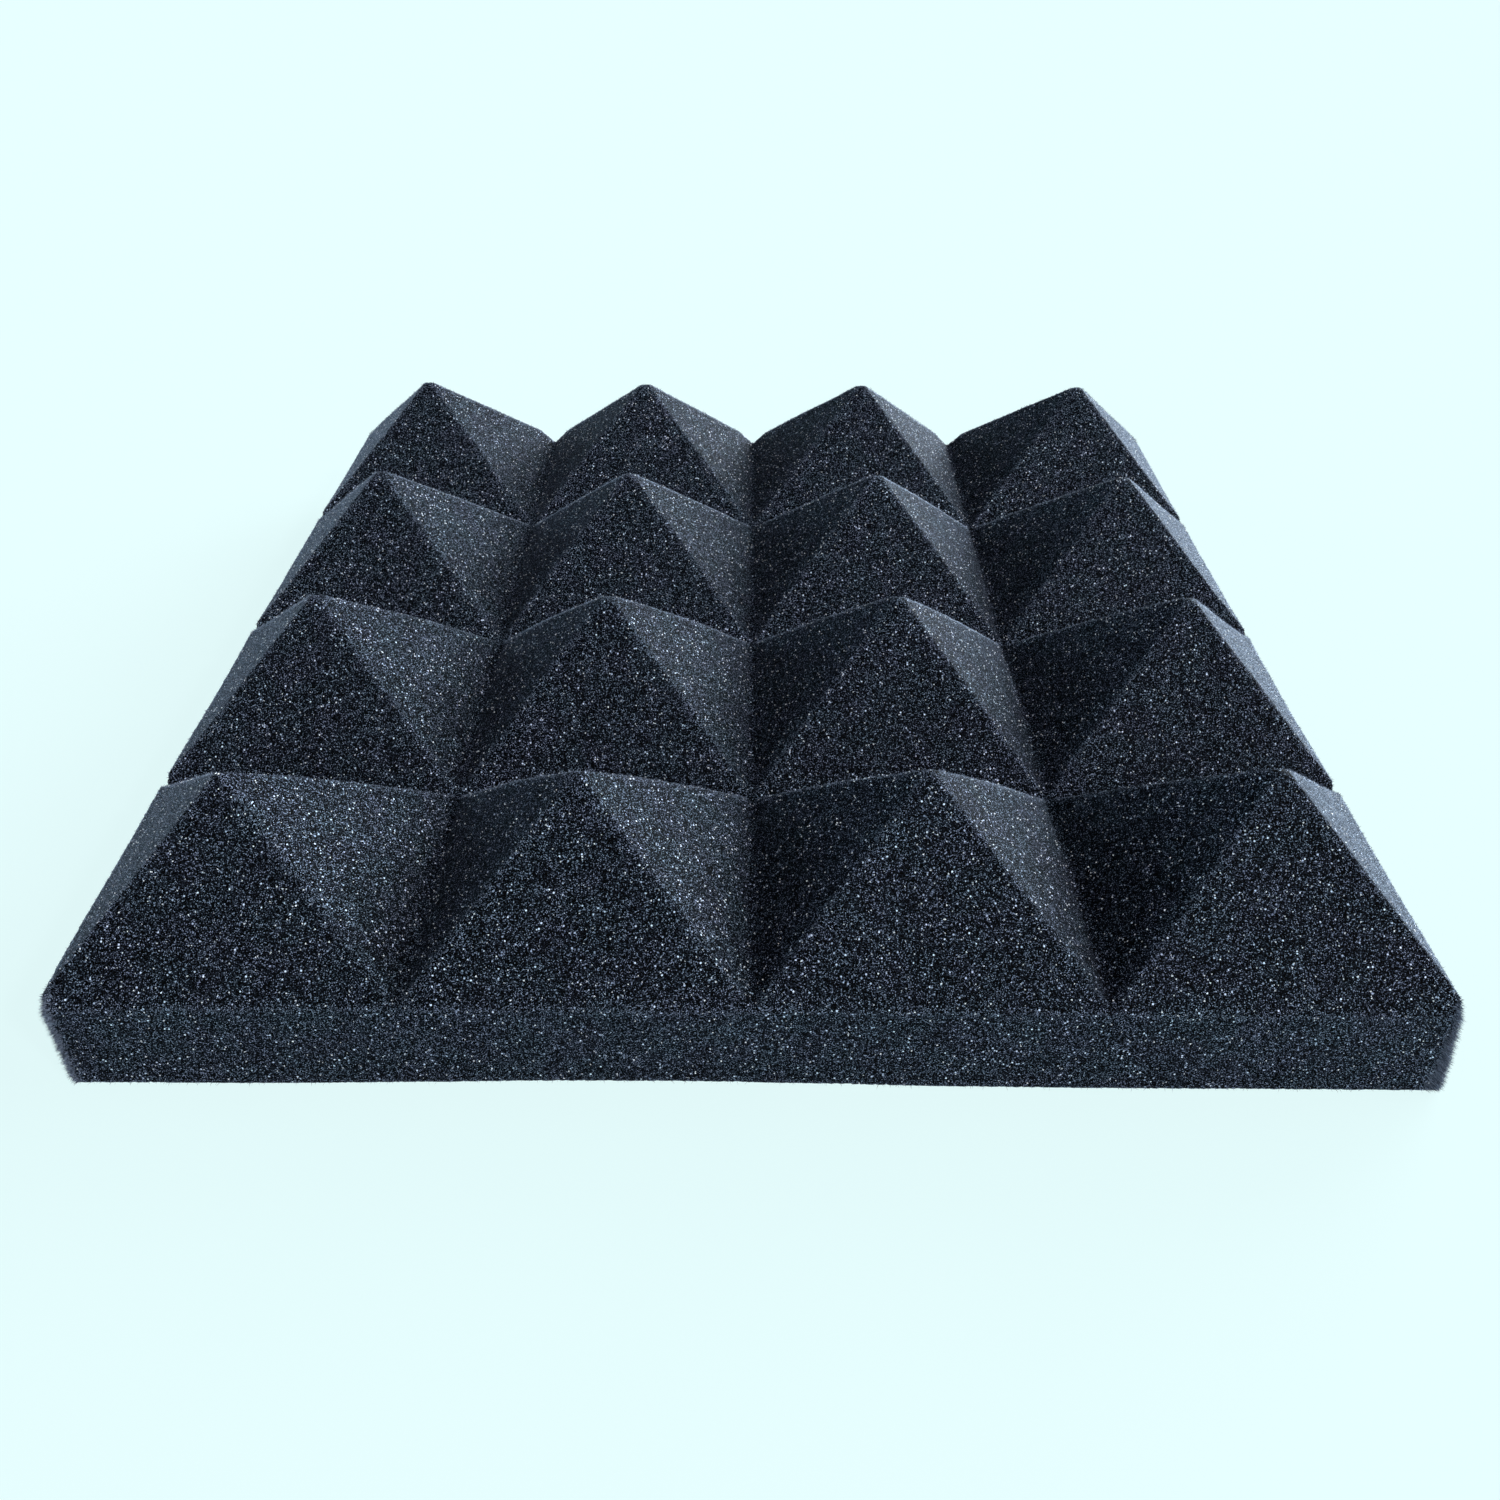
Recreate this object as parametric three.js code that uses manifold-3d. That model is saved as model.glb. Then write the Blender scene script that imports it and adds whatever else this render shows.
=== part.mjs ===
// Acoustic foam panel: one square block of open-cell polyurethane foam. Two crossing sets of
// ridges are cut into its top, and rows of pyramids are left standing on a plain slab.
// Millimetres, +Z up. The origin is in the middle of the flat underside, and the edge that
// the ridges start from is on the -Y side.

import * as THREE from "three";
import { mergeVertices } from "three/addons/utils/BufferGeometryUtils.js";
import Module from "manifold-3d";

// Driving dimensions
const PANEL_SIDE = 250;
const PANEL_THICKNESS = 50;
const SLAB_THICKNESS = 19;
const PYRAMIDS_PER_SIDE = 4;
const PYRAMID_PITCH = 63.5;
const TIP_RADIUS = 2.5;
const CUT_OVERRUN = 5;
const CURVE_STEPS = 4;

// Dimensions that follow from them
const HALF_SIDE = PANEL_SIDE / 2;
const HALF_PITCH = PYRAMID_PITCH / 2;
const LAST_RIDGE = PYRAMIDS_PER_SIDE - 1;
const RIDGE_SPAN = LAST_RIDGE * PYRAMID_PITCH;

// Across X the ridges are centred, so the side walls trim the outer pyramids alike. Across Y
// the front wall stands in a valley, and the back wall trims the last row short of its valley.
const FIRST_TIP_ACROSS_X = -RIDGE_SPAN / 2;
const FIRST_TIP_ACROSS_Y = -HALF_SIDE + HALF_PITCH;

const FOAM = new THREE.MeshStandardMaterial({
  name: "charcoal_foam",
  color: 0x22262e,
  roughness: 0.95,
  metalness: 0,
  flatShading: true,
});

// The angle of a flank above the horizontal. The straight flank starts in the valley and
// runs on into the tip's arc, whose top is at the panel's full thickness.
function flankAngle() {
  const rise = PANEL_THICKNESS - TIP_RADIUS - SLAB_THICKNESS;
  const reach = Math.hypot(rise, HALF_PITCH);
  return Math.atan2(rise, HALF_PITCH) + Math.asin(TIP_RADIUS / reach);
}

// The outline of ridges side by side, in the plane of X and height, closed along the underside
function ridgeOutline(firstTip) {
  const angle = flankAngle();
  const tipCentre = PANEL_THICKNESS - TIP_RADIUS;
  const start = firstTip - HALF_PITCH;
  const end = firstTip + RIDGE_SPAN + HALF_PITCH;
  const outline = new THREE.Shape();
  outline.moveTo(end + CUT_OVERRUN, -CUT_OVERRUN);
  outline.lineTo(end + CUT_OVERRUN, SLAB_THICKNESS);
  outline.lineTo(end, SLAB_THICKNESS);
  for (let ridge = LAST_RIDGE; ridge >= 0; ridge -= 1) {
    const tip = firstTip + ridge * PYRAMID_PITCH;
    outline.absarc(tip, tipCentre, TIP_RADIUS, Math.PI / 2 - angle, Math.PI / 2 + angle, false);
    outline.lineTo(tip - HALF_PITCH, SLAB_THICKNESS);
  }
  outline.lineTo(start - CUT_OVERRUN, SLAB_THICKNESS);
  outline.lineTo(start - CUT_OVERRUN, -CUT_OVERRUN);
  outline.closePath();
  return outline;
}

// A sheet with its ridges running along Y, longer than the block on every side
function sheetRidgedAcrossX(firstTip) {
  const length = PANEL_SIDE + 2 * CUT_OVERRUN;
  const sheet = new THREE.ExtrudeGeometry(ridgeOutline(firstTip), {
    depth: length,
    bevelEnabled: false,
    curveSegments: CURVE_STEPS,
  });
  return sheet.rotateX(Math.PI / 2).translate(0, length / 2, 0);
}

// The same sheet turned, with its ridges running along X
function sheetRidgedAcrossY(firstTip) {
  return sheetRidgedAcrossX(firstTip).rotateZ(Math.PI / 2);
}

// The uncut block, on its underside
function block() {
  const box = new THREE.BoxGeometry(PANEL_SIDE, PANEL_SIDE, PANEL_THICKNESS);
  return box.translate(0, 0, PANEL_THICKNESS / 2);
}

const wasm = await Module();
wasm.setup();

function toSolid(geometry) {
  const bare = geometry.clone();
  bare.deleteAttribute("normal");
  bare.deleteAttribute("uv");
  const merged = mergeVertices(bare);
  return new wasm.Manifold(new wasm.Mesh({
    numProp: 3,
    vertProperties: new Float32Array(merged.attributes.position.array),
    triVerts: new Uint32Array(merged.index.array),
  }));
}

function toGeometry(solid) {
  const mesh = solid.getMesh();
  const geometry = new THREE.BufferGeometry();
  geometry.setAttribute("position", new THREE.BufferAttribute(mesh.vertProperties, 3));
  geometry.setIndex(new THREE.BufferAttribute(mesh.triVerts, 1));
  geometry.computeVertexNormals();
  return geometry;
}

// The pyramids are what both sets of ridges leave of the block
function foamPanel() {
  const alongY = toSolid(sheetRidgedAcrossX(FIRST_TIP_ACROSS_X));
  const alongX = toSolid(sheetRidgedAcrossY(FIRST_TIP_ACROSS_Y));
  const panel = toSolid(block()).intersect(alongY).intersect(alongX);
  const mesh = new THREE.Mesh(toGeometry(panel), FOAM);
  mesh.name = "foam_panel";
  return mesh;
}

const acousticPanel = new THREE.Group();
acousticPanel.name = "acoustic_foam_panel";
acousticPanel.add(foamPanel());

export default acousticPanel;
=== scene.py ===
"""The looks of an acoustic foam panel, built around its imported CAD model.

The panel is one block of charcoal open-cell foam. The block here is a dense copy of the CAD
solid that is let sag and lean as soft foam does, and then has its cells cut open. Four more
pieces hold the struts and windows of cut cells, which stand out of the faces and edges like
short fur. Lengths are in metres, +Z is up, and the camera looks at the -Y side.
"""

import logging
import math
from dataclasses import dataclass
from enum import Enum

import bpy
import numpy as np
from mathutils import Matrix, Vector


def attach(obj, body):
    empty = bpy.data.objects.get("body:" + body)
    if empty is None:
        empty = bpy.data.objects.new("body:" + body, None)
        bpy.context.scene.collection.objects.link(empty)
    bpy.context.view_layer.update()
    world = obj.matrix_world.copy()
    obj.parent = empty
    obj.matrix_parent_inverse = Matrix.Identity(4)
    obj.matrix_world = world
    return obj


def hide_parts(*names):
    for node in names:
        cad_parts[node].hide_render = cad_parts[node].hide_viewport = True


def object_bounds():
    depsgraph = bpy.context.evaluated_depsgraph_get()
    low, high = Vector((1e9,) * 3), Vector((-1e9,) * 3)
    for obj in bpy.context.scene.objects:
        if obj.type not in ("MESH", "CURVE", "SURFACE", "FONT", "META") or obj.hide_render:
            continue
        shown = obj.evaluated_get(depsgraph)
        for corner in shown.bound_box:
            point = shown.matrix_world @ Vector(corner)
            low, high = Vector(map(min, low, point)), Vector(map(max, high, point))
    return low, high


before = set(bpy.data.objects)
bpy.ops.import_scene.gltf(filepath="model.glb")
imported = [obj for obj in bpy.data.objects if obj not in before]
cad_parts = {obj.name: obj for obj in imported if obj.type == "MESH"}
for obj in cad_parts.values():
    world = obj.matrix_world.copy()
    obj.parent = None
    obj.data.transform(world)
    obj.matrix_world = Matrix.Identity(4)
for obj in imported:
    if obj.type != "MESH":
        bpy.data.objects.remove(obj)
CAD_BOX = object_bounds()
HALF_SIDE = (CAD_BOX[1][0] - CAD_BOX[0][0]) / 2
UNDERSIDE = CAD_BOX[0][2]
BAKE_MAP = "OFBake"
MM = 0.001
SLAB = 19 * MM
LOG = logging.getLogger("foam_panel")

Colour = tuple[float, float, float]
Place = tuple[float, float, float]
Pair = tuple[float, float]
Mesh = bpy.types.Mesh
Piece = bpy.types.Object
Socket = bpy.types.NodeSocket

# A spike has three corners round its foot and then its tip, and these four faces.
SPIKE_FACES = ((0, 1, 3), (1, 2, 3), (2, 0, 3), (0, 2, 1))
SPIKE_CORNERS = 4
FACE_IN_SQUARE = ((0.2, 0.2), (0.8, 0.2), (0.5, 0.8))


class Chart(Enum):
    """The parts of the panel's surface that are unfolded on their own for baking.

    Each value is the chart's left, bottom, width and height in the unit square.
    """

    TOP = (0.010, 0.010, 0.700, 0.700)
    UNDERSIDE = (0.725, 0.010, 0.260, 0.260)
    FRONT = (0.010, 0.722, 0.700, 0.062)
    BACK = (0.010, 0.792, 0.700, 0.062)
    LEFT = (0.010, 0.862, 0.700, 0.062)
    RIGHT = (0.010, 0.932, 0.700, 0.062)


class Zone(Enum):
    """The parts of the foam's surface that struts stand on."""

    EDGES = "outward edges"
    CORNERS = "upright corners of the slab"
    SIDE_SLOPES = "slopes above the left and right sides"
    END_SLOPES = "slopes above the front and back sides"
    SAWN_SIDES = "sides of the slab"
    INNER_SLOPES = "all other slopes"
    OPEN_FOAM = "all but the underside"


def nothing_selected() -> None:
    """Leave no object selected, so the next operator acts only on what it is given."""
    bpy.ops.object.select_all(action="DESELECT")


def made_active(piece: Piece) -> None:
    """Select one piece alone and make it the active one.

    Args:
        piece: the piece that the next operator is to act on.
    """
    nothing_selected()
    piece.select_set(True)
    bpy.context.view_layer.objects.active = piece


def applied(piece: Piece, modifier: bpy.types.Modifier) -> None:
    """Apply a modifier to its piece."""
    made_active(piece)
    bpy.ops.object.modifier_apply(modifier=modifier.name)


def read(
    items: bpy.types.bpy_prop_collection, field: str, width: int = 1, kind: type = float
) -> np.ndarray:
    """Read one property of all vertices, edges, faces or corners of a mesh.

    Args:
        items: the vertices, edges, faces or corners, or the data of an attribute.
        field: the property's name.
        width: how many numbers each item has.
        kind: the type of the numbers.

    Returns:
        One row for each item, or one number where the width is 1.
    """
    flat = np.empty(len(items) * width, dtype=kind)
    items.foreach_get(field, flat)
    return flat if width == 1 else flat.reshape(-1, width)


def set_values(mesh: Mesh, name: str, kind: str, values: np.ndarray) -> None:
    """Keep values on a mesh's vertices for its material.

    Args:
        mesh: the mesh to mark.
        name: name of the new attribute.
        kind: FLOAT or FLOAT_VECTOR.
        values: the value of each vertex.
    """
    field = "vector" if kind == "FLOAT_VECTOR" else "value"
    mesh.attributes.new(name, kind, "POINT").data.foreach_set(field, values.ravel())


def set_places(mesh: Mesh, places: np.ndarray) -> None:
    """Move a mesh's vertices.

    Args:
        mesh: the mesh to change.
        places: one row of x, y and z for each vertex.
    """
    mesh.vertices.foreach_set("co", np.ascontiguousarray(places).ravel())
    mesh.update()


def bell(distance: np.ndarray) -> np.ndarray:
    """Give 1 at no distance, falling smoothly to 0 far off."""
    return np.exp(-(distance**2))


class NodeBench:
    """A material's or world's node tree with short calls to add and join nodes."""

    def __init__(self, tree: bpy.types.NodeTree) -> None:
        """Start with an empty tree."""
        self.tree = tree
        tree.nodes.clear()

    def add(self, kind: str, settings: dict | None = None, **sockets: object) -> bpy.types.Node:
        """Add one node.

        Args:
            kind: the node's type name.
            settings: the node's own properties by name.
            **sockets: values or output sockets for the inputs, by name with _ for a space.

        Returns:
            The new node.
        """
        node = self.tree.nodes.new(kind)
        for name, value in (settings or {}).items():
            setattr(node, name, value)
        for name, value in sockets.items():
            self.feed(node.inputs[name.replace("_", " ")], value)
        return node

    def feed(self, socket: Socket, value: object) -> None:
        """Give an input socket a value, or join an output socket to it.

        Args:
            socket: the input socket.
            value: a plain value or an output socket.
        """
        if isinstance(value, Socket):
            self.tree.links.new(value, socket)
        else:
            socket.default_value = value

    def math(self, operation: str, first: object, second: object = 0.5) -> Socket:
        """Work out one number from one or two others.

        Args:
            operation: what to do with them.
            first: the first number.
            second: the second number, where the operation takes two.

        Returns:
            The result.
        """
        node = self.add("ShaderNodeMath", {"operation": operation})
        self.feed(node.inputs[0], first)
        self.feed(node.inputs[1], second)
        return node.outputs[0]

    def ramp(self, value: object, low: float, high: float) -> Socket:
        """Turn a value into a share that rises smoothly from 0 to 1.

        Args:
            value: the value.
            low: the value at which the share is 0.
            high: the value at which it is 1.

        Returns:
            The share.
        """
        settings = {"interpolation_type": "SMOOTHSTEP", "clamp": True}
        node = self.add("ShaderNodeMapRange", settings, Value=value, From_Min=low, From_Max=high)
        return node.outputs[0]

    def mix(self, share: object, low: object, high: object, blend: str = "MIX") -> Socket:
        """Mix two colours by a share.

        Args:
            share: 0 for the first colour, 1 for the second one.
            low: the first colour.
            high: the second colour.
            blend: how the second colour is laid over the first.

        Returns:
            The mixed colour.
        """
        node = self.add("ShaderNodeMix", {"data_type": "RGBA", "blend_type": blend})
        self.feed(node.inputs[0], share)
        self.feed(node.inputs[6], low)
        self.feed(node.inputs[7], high)
        return node.outputs[2]

    def times(self, first: object, second: object) -> Socket:
        """Multiply two colours."""
        return self.mix(1.0, first, second, "MULTIPLY")

    def blend(self, share: object, low: object, high: object) -> Socket:
        """Mix two numbers by a share.

        Args:
            share: 0 for the first number, 1 for the second one.
            low: the first number.
            high: the second number.

        Returns:
            The mixed number.
        """
        node = self.add("ShaderNodeMix", {"data_type": "FLOAT"})
        self.feed(node.inputs[0], share)
        self.feed(node.inputs[2], low)
        self.feed(node.inputs[3], high)
        return node.outputs[0]

    def layered(self, share: object, under: Socket, over: Socket) -> Socket:
        """Lay one shader over another.

        Args:
            share: how much of the upper one shows.
            under: the lower shader.
            over: the upper shader.

        Returns:
            The mixed shader.
        """
        node = self.add("ShaderNodeMixShader")
        self.feed(node.inputs[0], share)
        self.feed(node.inputs[1], under)
        self.feed(node.inputs[2], over)
        return node.outputs[0]

    def finish(self, kind: str, shader: Socket) -> None:
        """Join the last shader to a new output node of the given kind."""
        self.feed(self.add(kind).inputs["Surface"], shader)


def rgba(colour: Colour) -> tuple[float, float, float, float]:
    """Give a colour the full opacity that node sockets want."""
    return (*colour, 1.0)


def new_bench(owner: bpy.types.Material | bpy.types.World) -> NodeBench:
    """Open a new material's or world's node tree."""
    owner.use_nodes = True
    return NodeBench(owner.node_tree)


@dataclass(frozen=True)
class CharcoalFoam:
    """The finish of cut open-cell foam: dark pores, paler cut walls and glinting windows.

    The foam is seen as small grains, one for each bit of cell wall that the cutter left. Most
    are nearly black, some are grey, and a few are pale. A grain's tone is drawn from a
    long-tailed spread, and its edge fades into the pore round it. The glints are painted
    highlights: bright specks laid into the base colour at random places, standing for cell
    windows that catch the light.

    Attributes:
        shade: hue of the darkest foam, with green at 1.
        shine: hue of the painted glints, with green at 1.
        tone: how pale the middle one of the grains is.
        tone_spread: how far the tones of the grains spread.
        upright_tone: the same as tone, on the slab's upright sides; it is higher, so the sides
            come out paler than the slopes.
        sawn_spread: the same as tone_spread, on the slab's sawn sides.
        palest: tone of the palest grain.
        glint: tone of the palest painted glint.
        grain: distance between grains.
        glint_gap: distance between the places where a painted glint may be.
        glint_share: share of those places that get a painted glint.
        frayed_and_rim_gain: how much paler the walls are along a cut edge: partly frayed walls,
            partly a painted rim highlight.
        sheen: strength of the velvety sheen.
        sheen_tint: its colour.
        sheen_roughness: how widely it spreads.
        haze: strength of the second sheen, the pale haze of cut cell walls seen edge on.
        haze_falloff: how fast that haze goes as a face turns towards the viewer.
        haze_tint: colour of the haze.
        haze_shade: colour of the haze over a pore.
        specular: strength of the gloss.
        roughness: roughness of the gloss in a pore.
        glint_roughness: the same on the palest walls.
        bump: strength of the bump that the grains make.
        bump_depth: how far the palest grain stands out.
        most: just over the highest chance, so that its odds stay finite.
        grain_edge: how far off a grain's middle it is gone and still whole, in grain gaps.
        glint_edge: the same of a painted glint, in glint gaps.
        haze_tone: tone from which a grain carries the full haze.
        bump_tone: tone from which a grain stands out fully.
        sawn_between: steepness, as the normal's height, where a side turns into a slope.
        mottle_scale: number of dye patches in a metre.
        mottle_detail: how ragged the patches are.
        mottle_between: noise values at which a patch is lilac or teal.
        lilac: tint of one kind of patch.
        teal: tint of the other kind.
        slope_name: attribute that holds the normals of the uncut surface.
        edge_name: attribute that is 1 on a cut edge and 0 away from it.
    """

    shade: Colour = (0.78, 1.0, 1.46)
    shine: Colour = (0.92, 1.0, 1.10)
    tone: float = 0.0105
    tone_spread: float = 1.40
    # The slab's upright sides are made paler than the slopes.
    upright_tone: float = 0.0158
    sawn_spread: float = 1.30
    palest: float = 0.32
    glint: float = 0.95
    grain: float = 0.17 * MM
    glint_gap: float = 0.40 * MM
    glint_share: float = 0.030
    # Paler along cut edges: partly frayed walls, partly a painted rim highlight.
    frayed_and_rim_gain: float = 1.6
    sheen: float = 0.012
    sheen_tint: Colour = (0.58, 0.76, 1.0)
    sheen_roughness: float = 0.30
    haze: float = 0.88
    haze_falloff: float = 12.0
    haze_tint: Colour = (0.68, 0.79, 1.0)
    haze_shade: Colour = (0.12, 0.15, 0.20)
    specular: float = 0.02
    roughness: float = 0.72
    glint_roughness: float = 0.25
    bump: float = 0.45
    bump_depth: float = 0.20 * MM
    most: float = 1.001
    grain_edge: Pair = (0.62, 0.34)
    glint_edge: Pair = (0.52, 0.42)
    haze_tone: float = 0.03
    bump_tone: float = 0.16
    sawn_between: Pair = (0.5, 0.2)
    mottle_scale: float = 130.0
    mottle_detail: float = 3.0
    mottle_between: Pair = (0.35, 0.65)
    lilac: Colour = (1.0, 0.95, 1.0)
    teal: Colour = (0.94, 1.0, 0.99)
    slope_name: str = "slope"
    edge_name: str = "cut_edge"

    def material(self, name: str) -> bpy.types.Material:
        """Build the finish.

        Args:
            name: the material's name.

        Returns:
            The material.
        """
        material = bpy.data.materials.new(name)
        bench = new_bench(material)
        place = bench.add("ShaderNodeTexCoord").outputs["Object"]
        attribute = bench.add("ShaderNodeAttribute", {"attribute_name": self.slope_name})
        slope = attribute.outputs["Vector"]
        tone = self._tone(bench, place, slope)
        # Walls along a cut edge are made paler: partly the frayed cut, partly a painted rim
        # highlight.
        edge = bench.add("ShaderNodeAttribute", {"attribute_name": self.edge_name})
        gain = bench.blend(edge.outputs["Fac"], 1.0, self.frayed_and_rim_gain)
        frayed_and_rimmed = bench.math("MULTIPLY", tone, gain)
        walls = bench.math("MINIMUM", frayed_and_rimmed, self.palest)
        # Painted highlights: the glint specks are laid into the base colour.
        paler = bench.math("MAXIMUM", walls, self._painted_glints(bench, place))
        hue = bench.mix(paler, rgba(self.shade), rgba(self.shine))
        colour = bench.add("ShaderNodeVectorMath", {"operation": "SCALE"})
        bench.feed(colour.inputs[0], bench.times(hue, self._mottle(bench, place)))
        bench.feed(colour.inputs["Scale"], paler)
        roughness = bench.blend(paler, self.roughness, self.glint_roughness)
        bump = bench.add(
            "ShaderNodeBump",
            Strength=self.bump,
            Distance=self.bump_depth,
            Height=bench.ramp(tone, 0.0, self.bump_tone),
            Normal=slope,
        )
        shader = bench.add(
            "ShaderNodeBsdfPrincipled",
            Base_Color=colour.outputs[0],
            Roughness=roughness,
            Specular_IOR_Level=self.specular,
            Sheen_Weight=self.sheen,
            Sheen_Roughness=self.sheen_roughness,
            Sheen_Tint=rgba(self.sheen_tint),
            Normal=bump.outputs[0],
        )
        hazy = self._hazy(bench, shader.outputs[0], tone, slope)
        bench.finish("ShaderNodeOutputMaterial", hazy)
        return material

    def _hazy(self, bench: NodeBench, shader: Socket, tone: Socket, slope: Socket) -> Socket:
        """Lay the sheen of cut cell walls over the foam, where it is seen at a grazing angle.

        Args:
            bench: the node tree.
            shader: the foam's own shader.
            tone: how pale each place is.
            slope: the normal of the uncut surface.

        Returns:
            The shader with the sheen over it.
        """
        facing = bench.add("ShaderNodeLayerWeight", Normal=slope).outputs["Facing"]
        share = bench.math("MULTIPLY", bench.math("POWER", facing, self.haze_falloff), self.haze)
        fibres = bench.ramp(tone, 0.0, self.haze_tone)
        tint = bench.mix(fibres, rgba(self.haze_shade), rgba(self.haze_tint))
        sheen = bench.add("ShaderNodeBsdfDiffuse", Color=tint, Normal=slope)
        return bench.layered(share, shader, sheen.outputs[0])

    def _tone(self, bench: NodeBench, place: Socket, slope: Socket) -> Socket:
        """Give how pale each place is, from 0 in a pore to the palest glint.

        Args:
            bench: the node tree.
            place: the place on the surface.
            slope: the normal of the uncut surface there.

        Returns:
            The tone.
        """
        height = bench.add("ShaderNodeSeparateXYZ", Vector=slope).outputs[2]
        upright_share = bench.ramp(bench.math("ABSOLUTE", height), *self.sawn_between)
        draws, distance = self._specks(bench, place, self.grain)
        chance = draws[0]
        odds = bench.math("DIVIDE", chance, bench.math("SUBTRACT", self.most, chance))
        drawn = bench.math("POWER", odds, bench.blend(upright_share, self.tone_spread, self.sawn_spread))
        rounded = bench.ramp(distance, *self.grain_edge)
        # The upright sides get the paler middle tone.
        level = bench.blend(upright_share, self.tone, self.upright_tone)
        return bench.math("MULTIPLY", bench.math("MULTIPLY", drawn, rounded), level)

    def _painted_glints(self, bench: NodeBench, place: Socket) -> Socket:
        """Give the tone of the painted glints: small sharp specks of pale base colour, few and
        scattered, some fainter, that stand for highlights.

        Args:
            bench: the node tree.
            place: the place on the surface.

        Returns:
            The tone, 0 away from a glint.
        """
        draws, distance = self._specks(bench, place, self.glint_gap)
        chosen = bench.math("LESS_THAN", draws[0], self.glint_share)
        lit = bench.math("MULTIPLY", chosen, bench.ramp(distance, *self.glint_edge))
        return bench.math("MULTIPLY", bench.math("MULTIPLY", lit, draws[1]), self.glint)

    def _specks(
        self, bench: NodeBench, place: Socket, gap: float
    ) -> tuple[bpy.types.NodeOutputs, Socket]:
        """Scatter specks over the surface, each with random numbers of its own.

        Args:
            bench: the node tree.
            place: the place on the surface.
            gap: distance between the specks.

        Returns:
            The nearest speck's three random numbers, and the distance to it in gaps.
        """
        kind = {"feature": "F1"}
        specks = bench.add("ShaderNodeTexVoronoi", kind, Vector=place, Scale=1.0 / gap)
        draws = bench.add("ShaderNodeSeparateColor", Color=specks.outputs["Color"]).outputs
        return draws, specks.outputs["Distance"]

    def _mottle(self, bench: NodeBench, place: Socket) -> Socket:
        """Give the slight unevenness of the dye, lilac in one place and teal in the next.

        Args:
            bench: the node tree.
            place: the place on the surface.

        Returns:
            The tint.
        """
        patches = bench.add(
            "ShaderNodeTexNoise", Vector=place, Scale=self.mottle_scale, Detail=self.mottle_detail
        )
        share = bench.ramp(patches.outputs[0], *self.mottle_between)
        return bench.mix(share, rgba(self.lilac), rgba(self.teal))


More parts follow.
